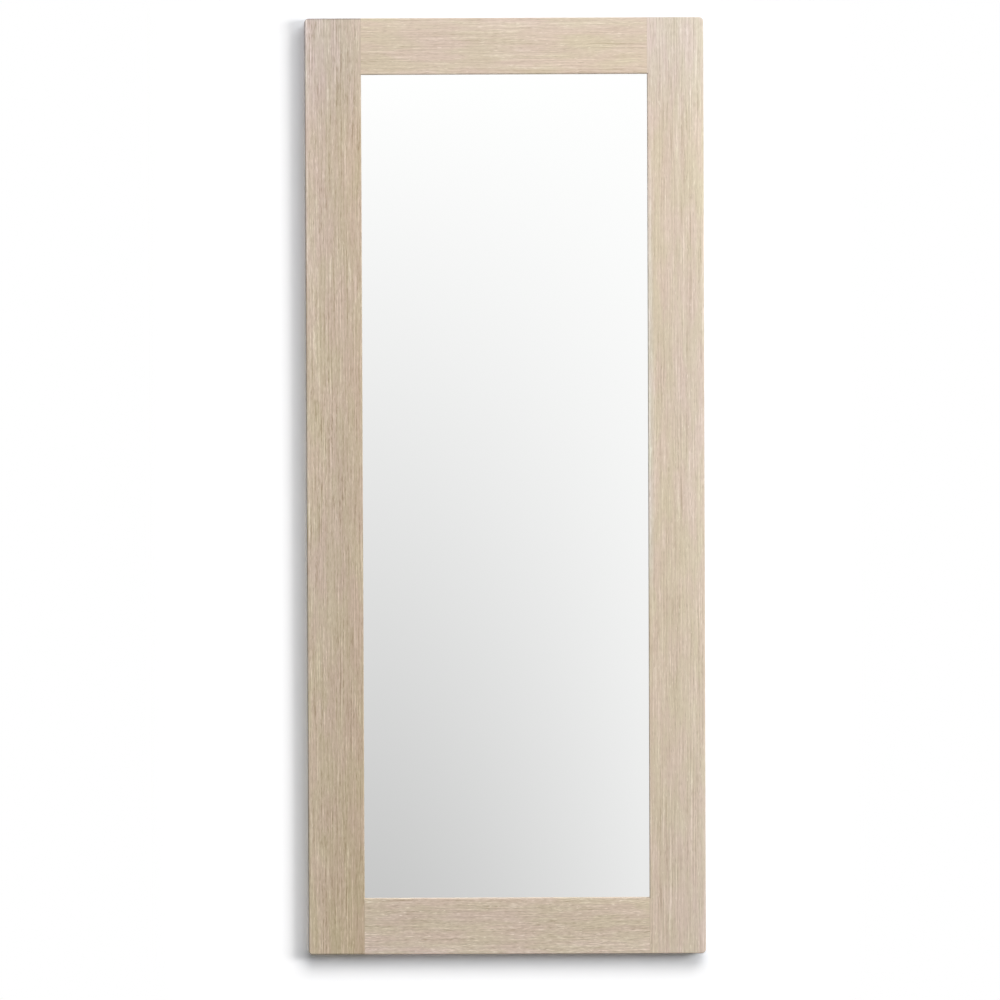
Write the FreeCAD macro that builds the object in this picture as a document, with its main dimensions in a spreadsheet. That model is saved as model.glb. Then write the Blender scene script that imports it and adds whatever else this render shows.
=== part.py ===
import FreeCAD, Part
import math
import os
import re
import Sketcher

# A full-length wall mirror. A flat frame of limed oak, butt-jointed and dowelled at its corners,
# holds a plain mirror pane in a rebate behind its sight edge. Battens press the pane home, a board
# closes the back, and two strap hangers with swinging D-rings carry the mirror on wall hooks.
# Rubber bumpers keep the frame off the wall.
# Frame: +X right and +Z up as seen from the front, which faces -Y. The origin lies on the wall
# plane, which the bumpers touch, at the middle of the frame's width and height.

SIZES = {
    # outline and members of the frame
    "overall_width": 850,
    "overall_height": 2000,
    "frame_thickness": 35,
    "stile_width": 120,
    "rail_width": 120,
    "corner_radius": 9,
    "outer_arris": 2.5,
    "sight_arris": 1.5,
    # glass rebate, and the wider and shallower one for the back board
    "lip_thickness": 10,
    "rebate_width": 12,
    "board_rebate_width": 30,
    "board_rebate_depth": 4.5,
    # dowels of the corner joints
    "dowel_diameter": 10,
    "dowel_length": 60,
    "dowel_chamfer": 1,
    "dowel_inset": 30,
    "dowel_pitch": 50,
    "dowel_clearance": 0.05,
    "dowel_spare_depth": 1,
    # pane and what lies against it
    "glass_thickness": 5,
    "glass_edge_gap": 2,
    "glass_chamfer": 0.6,
    "tape_thickness": 1,
    "tape_width": 8,
    "film_thickness": 0.3,
    "film_margin": 2,
    "foam_thickness": 3,
    "foam_width": 10,
    "foam_joint_gap": 0.5,
    "block_length": 50,
    # battens and their pins
    "batten_width": 16,
    "batten_chamfer": 2,
    "pin_diameter": 1.6,
    "pin_length": 30,
    "pin_clearance": 0.05,
    "pin_spare_depth": 0.5,
    # back board and its screws
    "board_thickness": 4,
    "board_edge_gap": 1,
    "board_screw_inset": 60,
    "board_screw_diameter": 3,
    "board_screw_head": 7,
    "board_head_height": 1.8,
    "board_screw_length": 20,
    # strap hangers
    "hanger_drop": 300,
    "strap_width": 19,
    "strap_thickness": 1.5,
    "strap_length": 72,
    "strap_end_radius": 8,
    "strap_seam_gap": 0.4,
    "strap_screw_first": 15.5,
    "strap_screw_pitch": 22,
    "strap_screw_diameter": 3.5,
    "strap_screw_head": 6.4,
    "strap_screw_length": 25,
    # D-rings
    "ring_wire": 4,
    "ring_half_width": 15,
    "ring_drop": 24,
    "ring_bend_radius": 4,
    "ring_clearance": 0.1,
    # bumpers
    "bumper_height": 8,
    "bumper_diameter": 22,
    "bumper_top_diameter": 18,
    "bumper_inset": 60,
    "bumper_seat_depth": 4.5,
    "bumper_recess_diameter": 10,
    "bumper_screw_diameter": 3.5,
    "bumper_screw_head": 8,
    "bumper_head_height": 2.4,
    "bumper_screw_length": 22,
    # holes and cuts
    "screw_clearance": 0.05,
    "screw_spare_depth": 1,
    "cut_overrun": 20,
}

COUNTS = {
    "board_screws_per_side": 5,
    "board_screws_per_end": 2,
    "pins_per_end": 3,
    "screws_per_strap": 3,
}

# Lengths that follow from the sizes, written as expressions on the sheet's names.
HALF_HEIGHT = "(overall_height / 2)"
SIGHT_X = "(overall_width / 2 - stile_width)"
SIGHT_Z = "(overall_height / 2 - rail_width)"
REBATE_DEPTH = "(frame_thickness - lip_thickness)"
REBATE_WIDTHS = ("rebate_width", "board_rebate_width")
DOWEL_BORE = "(dowel_diameter + 2 * dowel_clearance)"
DOWEL_REACH = "(dowel_length / 2 + dowel_spare_depth)"
GLASS_OVERLAP = "(rebate_width - glass_edge_gap)"
GLASS_FRONT = "(lip_thickness + tape_thickness)"
GLASS_BACK = "(lip_thickness + tape_thickness + glass_thickness)"
FOAM_FRONT = f"({GLASS_BACK} + film_thickness)"
BATTEN_FRONT = f"({FOAM_FRONT} + foam_thickness)"
BATTEN_DEPTH = f"(frame_thickness - board_rebate_depth - {BATTEN_FRONT})"
PIN_BORE = "(pin_diameter + 2 * pin_clearance)"
PIN_LEVEL = f"(board_rebate_depth + {BATTEN_DEPTH} / 2)"
PIN_REACH = "(rebate_width - batten_width + pin_length + pin_spare_depth)"
BOARD_OVERLAP = "(board_rebate_width - board_edge_gap)"
BOARD_RECESS = "(board_rebate_depth - board_thickness)"
BOARD_SCREW_EDGE = "((rebate_width + board_rebate_width) / 2)"
BOARD_SCREW_REACH = f"({BOARD_RECESS} + board_screw_length)"
BACK_BAND = "((board_rebate_width + stile_width) / 2)"
EYE_RADIUS = "(ring_wire / 2 + ring_clearance)"
EYE_LEVEL = f"(strap_thickness + {EYE_RADIUS})"
HANGER_Z = f"({HALF_HEIGHT} - hanger_drop)"

LEFT, RIGHT = -1, 1
BOTTOM, TOP = -1, 1
SIDE_NAMES = {LEFT: "left", RIGHT: "right"}
END_NAMES = {BOTTOM: "bottom", TOP: "top"}
RIGHT_ANGLE = 90
COUNTERSINK_ANGLE = 45
TOUCH = 1e-6
# A stand-in length that a driven distance replaces at once.
ROUGH = 1.0

document = FreeCAD.newDocument("wall_mirror")


def make_sheet():
    sheet = document.addObject("Spreadsheet::Sheet", "Sizes")
    for row, (name, size) in enumerate(SIZES.items(), 1):
        sheet.set(f"A{row}", name)
        sheet.set(f"B{row}", str(size))
        sheet.setAlias(f"B{row}", name)
    document.recompute()


def sized(text):
    # The expression with each of the sheet's names written as the sheet's own cell.
    names = "|".join(sorted(SIZES, key=len, reverse=True))
    return re.sub(rf"\b({names})\b", r"Sizes.\1", str(text))


def opposite(text):
    return f"(0 - {text})"


def sided(side, text):
    return text if side > 0 else opposite(text)


def new_body(name, x="0", y="0", z="0"):
    body = document.addObject("PartDesign::Body", name)
    body.Label = name
    body.setExpression("Placement.Base.x", sized(x))
    body.setExpression("Placement.Base.y", sized(y))
    body.setExpression("Placement.Base.z", sized(z))
    return body


def behind_front(depth):
    # The place along Y of a plane that lies this deep behind the frame's front face.
    return f"({depth} - frame_thickness - bumper_height)"


BACK_FACE = "(0 - bumper_height)"


def new_sketch(body, role, offset="0"):
    # A sketch on one of the body's origin planes, moved along the plane's normal.
    sketch = body.newObject("Sketcher::SketchObject", f"{body.Name}_sketch")
    plane = next(each for each in body.Origin.OriginFeatures if each.Role == role)
    sketch.AttachmentSupport = [(plane, "")]
    sketch.MapMode = "FlatFace"
    sketch.setExpression("AttachmentOffset.Base.z", sized(offset))
    return sketch


def fix_point(sketch, piece, end, place):
    for kind, distance in zip(("DistanceX", "DistanceY"), place):
        rule = sketch.addConstraint(Sketcher.Constraint(kind, -1, 1, piece, end, ROUGH))
        sketch.setExpression(f"Constraints[{rule}]", sized(distance))


def add_polygon(sketch, corners):
    # The corners start on a small circle, and their two distances then put each in its place.
    first = sketch.GeometryCount
    count = len(corners)
    turn = 2 * math.pi / count
    rough = [FreeCAD.Vector(math.cos(turn * i), math.sin(turn * i), 0) for i in range(count)]
    for i in range(count):
        sketch.addGeometry(Part.LineSegment(rough[i], rough[(i + 1) % count]))
    for i in range(count):
        after = first + (i + 1) % count
        sketch.addConstraint(Sketcher.Constraint("Coincident", first + i, 2, after, 1))
        fix_point(sketch, first + i, 1, corners[i])


def add_rectangle(sketch, low_x, high_x, low_y, high_y):
    add_polygon(sketch, [(low_x, low_y), (high_x, low_y), (high_x, high_y), (low_x, high_y)])


def add_circles(sketch, places, diameter):
    for place in places:
        circle = sketch.addGeometry(Part.Circle(FreeCAD.Vector(), FreeCAD.Vector(0, 0, 1), ROUGH))
        rule = sketch.addConstraint(Sketcher.Constraint("Diameter", circle, ROUGH))
        sketch.setExpression(f"Constraints[{rule}]", sized(diameter))
        fix_point(sketch, circle, 3, place)


def extrude(kind, body, sketch, length, backwards=False, both_ways=False, taper=0):
    before = body.Shape.Volume if body.Tip else 0
    feature = body.newObject(f"PartDesign::{kind}", f"{body.Name}_{kind.lower()}")
    feature.Profile = sketch
    feature.Reversed = backwards
    feature.SideType = "Symmetric" if both_ways else "One side"
    feature.TaperAngle = taper
    feature.setExpression("Length", sized(length))
    document.recompute()
    grown = body.Shape.Volume - before
    if (grown > 0) != (kind == "Pad"):
        raise RuntimeError(f"{feature.Name} changes nothing or points the wrong way")
    return feature


def pad(body, sketch, length, **options):
    return extrude("Pad", body, sketch, length, **options)


def pocket(body, sketch, length, **options):
    return extrude("Pocket", body, sketch, length, **options)


def ease_edges(kind, body, chosen, size):
    # Rounds or chamfers the edges that the test chooses by their middle point.
    base = body.Tip
    names = [
        f"Edge{number}"
        for number, edge in enumerate(base.Shape.Edges, 1)
        if chosen(edge, edge.valueAt((edge.FirstParameter + edge.LastParameter) / 2))
    ]
    feature = body.newObject(f"PartDesign::{kind}", f"{body.Name}_{kind.lower()}")
    feature.Base = (base, names)
    feature.setExpression("Radius" if kind == "Fillet" else "Size", sized(size))
    document.recompute()
    return feature


def lies_along(edge, axis):
    # True for a straight edge that runs along X, Y or Z, given as 0, 1 or 2.
    ends = [vertex.Point for vertex in edge.Vertexes]
    if len(ends) < 2:
        return False
    run = ends[1] - ends[0]
    return abs(abs(run[axis]) - edge.Length) < TOUCH


def steps_between(count, span):
    # Places evenly spread over the span about its middle, with one at each end.
    return [f"({i} / {count - 1} - 1 / 2) * {span}" for i in range(count)]


def steps_within(count, span):
    # Places at the middles of as many equal stretches of the span.
    return [f"(({i} + 1 / 2) / {count} - 1 / 2) * {span}" for i in range(count)]


# Fastener places, each an (across, up) pair seen from the front about the frame's middle.
BOARD_SPAN = f"(2 * ({SIGHT_Z} + board_rebate_width) - 2 * board_screw_inset)"
SCREW_ROWS = steps_between(COUNTS["board_screws_per_side"], BOARD_SPAN)
SCREW_COLUMNS = steps_within(COUNTS["board_screws_per_end"], f"(2 * {SIGHT_X})")
PIN_ROWS = steps_within(COUNTS["board_screws_per_side"] - 1, BOARD_SPAN)
PIN_COLUMNS = steps_within(COUNTS["pins_per_end"], f"(2 * {SIGHT_X})")
STRAP_SCREW_DROPS = [
    f"(strap_screw_first + {i} * strap_screw_pitch)" for i in range(COUNTS["screws_per_strap"])
]
BUMPER_Z = f"({HALF_HEIGHT} - bumper_inset)"
DOWEL_LEVEL = "(0 - frame_thickness / 2)"
DOWEL_STEPS = ["(rail_width - dowel_inset)", "(rail_width - dowel_inset - dowel_pitch)"]


def board_screw_places():
    edge_x = f"({SIGHT_X} + {BOARD_SCREW_EDGE})"
    edge_z = f"({SIGHT_Z} + {BOARD_SCREW_EDGE})"
    sides = [(sided(side, edge_x), row) for side in SIDE_NAMES for row in SCREW_ROWS]
    ends = [(column, sided(end, edge_z)) for end in END_NAMES for column in SCREW_COLUMNS]
    return sides + ends


def hanger_screw_places(side):
    middle = sided(side, f"({SIGHT_X} + {BACK_BAND})")
    return [(middle, f"{HANGER_Z} - {drop}") for drop in STRAP_SCREW_DROPS]


def bumper_places():
    middle = f"({SIGHT_X} + {BACK_BAND})"
    return [(sided(side, middle), sided(end, BUMPER_Z)) for side in SIDE_NAMES for end in END_NAMES]


def drill_back(body, places, screw, length):
    # Holes from the frame's back face for screws whose length is partly in what they hold.
    sketch = new_sketch(body, "XZ_Plane")
    add_circles(sketch, places, f"{screw} + 2 * screw_clearance")
    pocket(body, sketch, f"{length} + screw_spare_depth", backwards=True)


def chamfer_sight_edge(body, low_x, high_x, low_y, high_y):
    # A pocket of the whole opening whose sides slope inwards, so that the chamfers are mitred.
    sketch = new_sketch(body, "XZ_Plane", "frame_thickness")
    add_rectangle(sketch, low_x, high_x, low_y, high_y)
    pocket(body, sketch, "sight_arris", taper=-COUNTERSINK_ANGLE)


def ease_outline(body, chosen):
    level = body.Tip.Shape.BoundBox

    def on_rim(edge, middle):
        on_face = min(abs(middle.y - level.YMin), abs(middle.y - level.YMax)) < TOUCH
        return on_face and edge.BoundBox.YLength < TOUCH and chosen(edge, middle)

    ease_edges("Fillet", body, on_rim, "outer_arris")


def cut_rebates(body, low_x, high_x, low_z, high_z):
    # The deep rebate for the pane and battens, then the wide and shallow one for the back board.
    # Each limit is a pair, for the first and the second rebate.
    for cut, depth in enumerate((REBATE_DEPTH, "board_rebate_depth")):
        rebate = new_sketch(body, "XZ_Plane")
        add_rectangle(rebate, low_x[cut], high_x[cut], low_z[cut], high_z[cut])
        pocket(body, rebate, depth, backwards=True)


def cut_stile_blank(body, side):
    # Both rebates stop short of the stile's ends, where the rails butt against it.
    blank = new_sketch(body, "XZ_Plane")
    add_rectangle(blank, "0", sided(side, "stile_width"), opposite(HALF_HEIGHT), HALF_HEIGHT)
    pad(body, blank, "frame_thickness")
    ease_edges("Fillet", body, lambda edge, middle: lies_along(edge, 1) and abs(middle.x) > TOUCH,
               "corner_radius")
    clear = sided(-side, "cut_overrun")
    walls = [sided(side, width) for width in REBATE_WIDTHS]
    reaches = [f"({SIGHT_Z} + {width})" for width in REBATE_WIDTHS]
    cut_rebates(body, [clear, clear], walls, [opposite(reach) for reach in reaches], reaches)
    reach = f"({SIGHT_Z} + sight_arris)"
    chamfer_sight_edge(body, clear, sided(side, "sight_arris"), opposite(reach), reach)


def drill_stile(body, side):
    dowels = new_sketch(body, "YZ_Plane")
    places = [
        (DOWEL_LEVEL, sided(end, f"({SIGHT_Z} + {step})")) for end in END_NAMES for step in DOWEL_STEPS
    ]
    add_circles(dowels, places, DOWEL_BORE)
    pocket(body, dowels, DOWEL_REACH, backwards=side > 0)

    pins = new_sketch(body, "YZ_Plane")
    add_circles(pins, [(f"0 - {PIN_LEVEL}", row) for row in PIN_ROWS], PIN_BORE)
    pocket(body, pins, PIN_REACH, backwards=side > 0)

    board_edge = sided(side, BOARD_SCREW_EDGE)
    drill_back(body, [(board_edge, row) for row in SCREW_ROWS], "board_screw_diameter",
               BOARD_SCREW_REACH)
    middle = sided(side, BACK_BAND)
    drops = [(middle, f"{HANGER_Z} - {drop}") for drop in STRAP_SCREW_DROPS]
    drill_back(body, drops, "strap_screw_diameter", "strap_screw_length - strap_thickness")
    drill_back(body, [(middle, sided(end, BUMPER_Z)) for end in END_NAMES],
               "bumper_screw_diameter", "bumper_screw_length - bumper_height + bumper_seat_depth")


def make_stile(side):
    # Local frame: the back face is at Y zero and the sight edge at X zero.
    body = new_body(f"{SIDE_NAMES[side]}_stile", sided(side, SIGHT_X), BACK_FACE)
    cut_stile_blank(body, side)
    drill_stile(body, side)
    reach_x = SIZES["stile_width"] - SIZES["corner_radius"]
    reach_z = SIZES["overall_height"] / 2 - SIZES["corner_radius"]
    ease_outline(body, lambda edge, middle: abs(middle.x) > reach_x or abs(middle.z) > reach_z)


def cut_rail_blank(body, end):
    # Both rebates run through from end to end.
    blank = new_sketch(body, "XZ_Plane")
    add_rectangle(blank, opposite(SIGHT_X), SIGHT_X, "0", sided(end, "rail_width"))
    pad(body, blank, "frame_thickness")
    run = f"({SIGHT_X} + cut_overrun)"
    clear = sided(-end, "cut_overrun")
    walls = [sided(end, width) for width in REBATE_WIDTHS]
    cut_rebates(body, [opposite(run), opposite(run)], [run, run], [clear, clear], walls)
    chamfer_sight_edge(body, opposite(run), run, clear, sided(end, "sight_arris"))


def drill_rail(body, end):
    for side in SIDE_NAMES:
        dowels = new_sketch(body, "YZ_Plane", sided(side, SIGHT_X))
        add_circles(dowels, [(DOWEL_LEVEL, sided(end, step)) for step in DOWEL_STEPS], DOWEL_BORE)
        pocket(body, dowels, DOWEL_REACH, backwards=side < 0)

    pins = new_sketch(body, "XY_Plane")
    add_circles(pins, [(column, f"0 - {PIN_LEVEL}") for column in PIN_COLUMNS], PIN_BORE)
    pocket(body, pins, PIN_REACH, backwards=end > 0)

    level = sided(end, BOARD_SCREW_EDGE)
    drill_back(body, [(column, level) for column in SCREW_COLUMNS], "board_screw_diameter",
               BOARD_SCREW_REACH)


def make_rail(end):
    # Local frame: the back face is at Y zero and the sight edge at Z zero.
    body = new_body(f"{END_NAMES[end]}_rail", y=BACK_FACE, z=sided(end, SIGHT_Z))
    cut_rail_blank(body, end)
    drill_rail(body, end)
    reach_z = SIZES["rail_width"] - SIZES["corner_radius"]
    ease_outline(body, lambda edge, middle: abs(middle.z) > reach_z and lies_along(edge, 0))


def make_dowels(end, side):
    # Two beech dowels across one corner joint, with chamfered ends.
    body = new_body(f"dowels_{END_NAMES[end]}_{SIDE_NAMES[side]}", sided(side, SIGHT_X), BACK_FACE,
                    sided(end, SIGHT_Z))
    sketch = new_sketch(body, "YZ_Plane")
    add_circles(sketch, [(DOWEL_LEVEL, sided(end, step)) for step in DOWEL_STEPS], "dowel_diameter")
    pad(body, sketch, "dowel_length", both_ways=True)
    ease_edges("Chamfer", body, lambda edge, middle: edge.BoundBox.XLength < TOUCH, "dowel_chamfer")


def make_glazing_tape():
    # A flat black band between the lip and the pane, flush with the pane's edge.
    body = new_body("glazing_tape", y=behind_front(GLASS_FRONT))
    sketch = new_sketch(body, "XZ_Plane")
    for margin in (f"({GLASS_OVERLAP} - tape_width)", GLASS_OVERLAP):
        half_x = f"({SIGHT_X} + {margin})"
        half_z = f"({SIGHT_Z} + {margin})"
        add_rectangle(sketch, opposite(half_x), half_x, opposite(half_z), half_z)
    pad(body, sketch, "tape_thickness")


def make_foam_strips():
    # Two long strips down the sides of the film, and two short ones between them.
    body = new_body("foam_strips", y=behind_front(BATTEN_FRONT))
    sketch = new_sketch(body, "XZ_Plane")
    outer_x = f"({SIGHT_X} + {GLASS_OVERLAP} - film_margin)"
    outer_z = f"({SIGHT_Z} + {GLASS_OVERLAP} - film_margin)"
    short = f"({outer_x} - foam_width - foam_joint_gap)"
    for side in SIDE_NAMES:
        add_rectangle(sketch, sided(side, f"({outer_x} - foam_width)"), sided(side, outer_x),
                      opposite(outer_z), outer_z)
    for end in END_NAMES:
        add_rectangle(sketch, opposite(short), short, sided(end, f"({outer_z} - foam_width)"),
                      sided(end, outer_z))
    pad(body, sketch, "foam_thickness")


def make_panel(name, margin, front, thickness):
    # A sheet that reaches this far outside the sight edge on all sides.
    body = new_body(name, y=behind_front(f"({front} + {thickness})"))
    sketch = new_sketch(body, "XZ_Plane")
    half_x = f"({SIGHT_X} + {margin})"
    half_z = f"({SIGHT_Z} + {margin})"
    add_rectangle(sketch, opposite(half_x), half_x, opposite(half_z), half_z)
    pad(body, sketch, thickness)
    return body


def make_pane():
    body = make_panel("mirror_pane", GLASS_OVERLAP, GLASS_FRONT, "glass_thickness")
    ease_edges("Chamfer", body, lambda edge, middle: not lies_along(edge, 1), "glass_chamfer")


def make_setting_blocks():
    # Two strips under the pane at the quarter points of its lower edge.
    body = new_body("setting_blocks", y=behind_front(GLASS_BACK))
    sketch = new_sketch(body, "XZ_Plane")
    foot = f"0 - ({SIGHT_Z} + rebate_width)"
    for side in SIDE_NAMES:
        middle = sided(side, f"({SIGHT_X} / 2)")
        add_rectangle(sketch, f"{middle} - block_length / 2", f"{middle} + block_length / 2",
                      foot, f"{foot} + glass_edge_gap")
    pad(body, sketch, "glass_thickness + tape_thickness")


def drill_pins(body, role, places, backwards):
    sketch = new_sketch(body, role)
    add_circles(sketch, places, PIN_BORE)
    pocket(body, sketch, "batten_width + cut_overrun", backwards=backwards)


def make_side_batten(side):
    # Local frame: the back is at Y zero, and the long face against the frame's wood at X zero.
    body = new_body(f"{SIDE_NAMES[side]}_batten", sided(side, f"({SIGHT_X} + rebate_width)"),
                    "(0 - bumper_height - board_rebate_depth)")
    sketch = new_sketch(body, "XZ_Plane")
    reach = f"({SIGHT_Z} + rebate_width)"
    add_rectangle(sketch, "0", sided(-side, "batten_width"), opposite(reach), reach)
    pad(body, sketch, BATTEN_DEPTH)
    ease_edges("Chamfer", body, lambda edge, middle: lies_along(edge, 2) and abs(middle.x) > TOUCH,
               "batten_chamfer")
    drill_pins(body, "YZ_Plane", [(f"0 - {BATTEN_DEPTH} / 2", row) for row in PIN_ROWS], side < 0)


def make_end_batten(end):
    body = new_body(f"{END_NAMES[end]}_batten", z=sided(end, f"({SIGHT_Z} + rebate_width)"),
                    y="(0 - bumper_height - board_rebate_depth)")
    sketch = new_sketch(body, "XZ_Plane")
    reach = f"({SIGHT_X} + rebate_width - batten_width)"
    add_rectangle(sketch, opposite(reach), reach, "0", sided(-end, "batten_width"))
    pad(body, sketch, BATTEN_DEPTH)
    ease_edges("Chamfer", body, lambda edge, middle: lies_along(edge, 0) and abs(middle.z) > TOUCH,
               "batten_chamfer")
    places = [(column, f"0 - {BATTEN_DEPTH} / 2") for column in PIN_COLUMNS]
    drill_pins(body, "XY_Plane", places, end < 0)


def make_pins(name, role, x, z, places, outwards):
    # Panel pins through one batten into the frame.
    body = new_body(name, x, f"(0 - bumper_height - {PIN_LEVEL})", z)
    sketch = new_sketch(body, role)
    add_circles(sketch, places, "pin_diameter")
    pad(body, sketch, "pin_length", backwards=outwards < 0)


def make_all_pins():
    reach_x = f"({SIGHT_X} + rebate_width - batten_width)"
    reach_z = f"({SIGHT_Z} + rebate_width - batten_width)"
    for side, name in SIDE_NAMES.items():
        make_pins(f"{name}_batten_pins", "YZ_Plane", sided(side, reach_x), "0",
                  [("0", row) for row in PIN_ROWS], side)
    for end, name in END_NAMES.items():
        make_pins(f"{name}_batten_pins", "XY_Plane", "0", sided(end, reach_z),
                  [(column, "0") for column in PIN_COLUMNS], end)


def make_back_board():
    front = "(frame_thickness - board_rebate_depth)"
    body = make_panel("back_board", BOARD_OVERLAP, front, "board_thickness")
    holes = new_sketch(body, "XZ_Plane")
    add_circles(holes, board_screw_places(), "board_screw_diameter + 2 * screw_clearance")
    pocket(body, holes, "board_thickness", backwards=True)


def make_screws(name, y, places, head, head_depth, shank, length, **options):
    # A group of equal screws, each a head and, from the head's underside, a shank.
    body = new_body(name, y=y)
    heads = new_sketch(body, "XZ_Plane")
    add_circles(heads, places, head)
    pad(body, heads, head_depth, **options)
    shanks = new_sketch(body, "XZ_Plane", head_depth)
    add_circles(shanks, places, shank)
    pad(body, shanks, f"{length} - {head_depth}")


def make_all_screws():
    # Pan heads on the board and in the bumpers' recesses, countersunk heads in the straps.
    make_screws("back_board_screws", f"(board_head_height - bumper_height - {BOARD_RECESS})",
                board_screw_places(), "board_screw_head", "board_head_height",
                "board_screw_diameter", "(board_screw_length + board_head_height)")
    make_screws("bumper_screws", "(bumper_head_height - bumper_seat_depth)", bumper_places(),
                "bumper_screw_head", "bumper_head_height", "bumper_screw_diameter",
                "(bumper_screw_length + bumper_head_height)")
    for side, name in SIDE_NAMES.items():
        make_screws(f"hanger_screws_{name}", "(strap_thickness - bumper_height)",
                    hanger_screw_places(side), "strap_screw_head",
                    "((strap_screw_head - strap_screw_diameter) / 2)", "strap_screw_diameter",
                    "strap_screw_length", taper=-COUNTERSINK_ANGLE)


def make_bumper(side, end):
    # A turned rubber foot, tapering to the wall, with a recess for its screw.
    middle = sided(side, f"({SIGHT_X} + {BACK_BAND})")
    body = new_body(f"bumper_{END_NAMES[end]}_{SIDE_NAMES[side]}", middle, BACK_FACE,
                    sided(end, BUMPER_Z))
    sketch = new_sketch(body, "XY_Plane")
    bore = "(bumper_screw_diameter / 2 + screw_clearance)"
    recess = "(bumper_recess_diameter / 2)"
    seat = "(bumper_height - bumper_seat_depth)"
    add_polygon(sketch, [
        (bore, "0"),
        ("bumper_diameter / 2", "0"),
        ("bumper_top_diameter / 2", "bumper_height"),
        (recess, "bumper_height"),
        (recess, seat),
        (bore, seat),
    ])
    turned = body.newObject("PartDesign::Revolution", f"{body.Name}_revolution")
    turned.Profile = sketch
    turned.ReferenceAxis = (sketch, ["V_Axis"])
    document.recompute()


def countersink(body):
    # Clearance holes through the strip, whose mouths widen to the head of a countersunk screw.
    places = [("0", f"0 - {drop}") for drop in STRAP_SCREW_DROPS]
    holes = new_sketch(body, "XZ_Plane", "0 - strap_thickness")
    add_circles(holes, places, "strap_screw_diameter + 2 * screw_clearance")
    pocket(body, holes, "strap_thickness", backwards=True)
    mouths = new_sketch(body, "XZ_Plane", "0 - strap_thickness")
    add_circles(mouths, places, "strap_screw_head + 2 * screw_clearance")
    pocket(body, mouths, "(strap_screw_head - strap_screw_diameter) / 2", backwards=True,
           taper=-COUNTERSINK_ANGLE)


def make_strap(side):
    # A steel strip that lies on the frame's back, its upper end rolled into an eye for the ring.
    # Local frame: Y is zero at the frame's back and Z at the eye's axis.
    body = new_body(f"strap_{SIDE_NAMES[side]}", sided(side, f"({SIGHT_X} + {BACK_BAND})"),
                    BACK_FACE, HANGER_Z)
    strip = new_sketch(body, "YZ_Plane")
    add_rectangle(strip, "0", "strap_thickness", "0 - strap_length", "0")
    pad(body, strip, "strap_width", both_ways=True)

    eye = new_sketch(body, "YZ_Plane")
    add_circles(eye, [(EYE_LEVEL, "0")], f"2 * ({EYE_RADIUS} + strap_thickness)")
    add_circles(eye, [(EYE_LEVEL, "0")], f"2 * {EYE_RADIUS}")
    pad(body, eye, "strap_width", both_ways=True)

    # The rolled end stops short of the strip, which leaves a seam open below the eye.
    seam = new_sketch(body, "YZ_Plane")
    add_rectangle(seam, "strap_thickness", "strap_thickness + strap_seam_gap",
                  f"0 - {EYE_RADIUS} - strap_thickness", f"0 - {EYE_RADIUS} / 2")
    pocket(body, seam, "strap_width + cut_overrun", both_ways=True)

    foot = body.Tip.Shape.BoundBox.ZMin
    ease_edges("Fillet", body, lambda edge, middle: lies_along(edge, 1) and middle.z - foot < TOUCH,
               "strap_end_radius")
    countersink(body)


def draw_ring_path(sketch):
    # Clockwise from the middle of the bar: bar, bend, arm, crown, arm, bend, bar.
    sizes = document.Sizes
    half = sizes.ring_half_width
    bend = sizes.ring_bend_radius
    crown = sizes.ring_drop - half
    point = FreeCAD.Vector
    normal = point(0, 0, 1)

    def arc(across, up, radius, start, finish):
        circle = Part.Circle(point(across, up, 0), normal, radius)
        return Part.ArcOfCircle(circle, math.radians(start), math.radians(finish))

    sketch.addGeometry([
        Part.LineSegment(point(0, 0, 0), point(half - bend, 0, 0)),
        arc(half - bend, -bend, bend, 0, RIGHT_ANGLE),
        Part.LineSegment(point(half, -bend, 0), point(half, -crown, 0)),
        arc(0, -crown, half, 2 * RIGHT_ANGLE, 4 * RIGHT_ANGLE),
        Part.LineSegment(point(-half, -crown, 0), point(-half, -bend, 0)),
        arc(bend - half, -bend, bend, RIGHT_ANGLE, 2 * RIGHT_ANGLE),
        Part.LineSegment(point(bend - half, 0, 0), point(0, 0, 0)),
    ])
    bar, bend_right, arm_right, bow, arm_left, bend_left, bar_left = range(7)
    rules = [
        Sketcher.Constraint("Coincident", bar, 1, -1, 1),
        Sketcher.Constraint("Coincident", bar_left, 2, bar, 1),
        Sketcher.Constraint("Tangent", bar, 2, bend_right, 2),
        Sketcher.Constraint("Tangent", bend_right, 1, arm_right, 1),
        Sketcher.Constraint("Tangent", arm_right, 2, bow, 2),
        Sketcher.Constraint("Tangent", bow, 1, arm_left, 1),
        Sketcher.Constraint("Tangent", arm_left, 2, bend_left, 2),
        Sketcher.Constraint("Tangent", bend_left, 1, bar_left, 1),
        Sketcher.Constraint("Horizontal", bar),
        Sketcher.Constraint("Horizontal", bar_left),
        Sketcher.Constraint("Vertical", arm_right),
        Sketcher.Constraint("Vertical", arm_left),
    ]
    sketch.addConstraint(rules)
    driven = [
        (Sketcher.Constraint("Radius", bend_right, bend), "ring_bend_radius"),
        (Sketcher.Constraint("Radius", bend_left, bend), "ring_bend_radius"),
        (Sketcher.Constraint("DistanceX", -1, 1, arm_right, 1, half), "ring_half_width"),
        (Sketcher.Constraint("DistanceX", -1, 1, arm_left, 2, -half), "0 - ring_half_width"),
        (Sketcher.Constraint("DistanceY", -1, 1, bow, 3, -crown), "ring_half_width - ring_drop"),
    ]
    for rule, length in driven:
        sketch.setExpression(f"Constraints[{sketch.addConstraint(rule)}]", sized(length))


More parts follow.
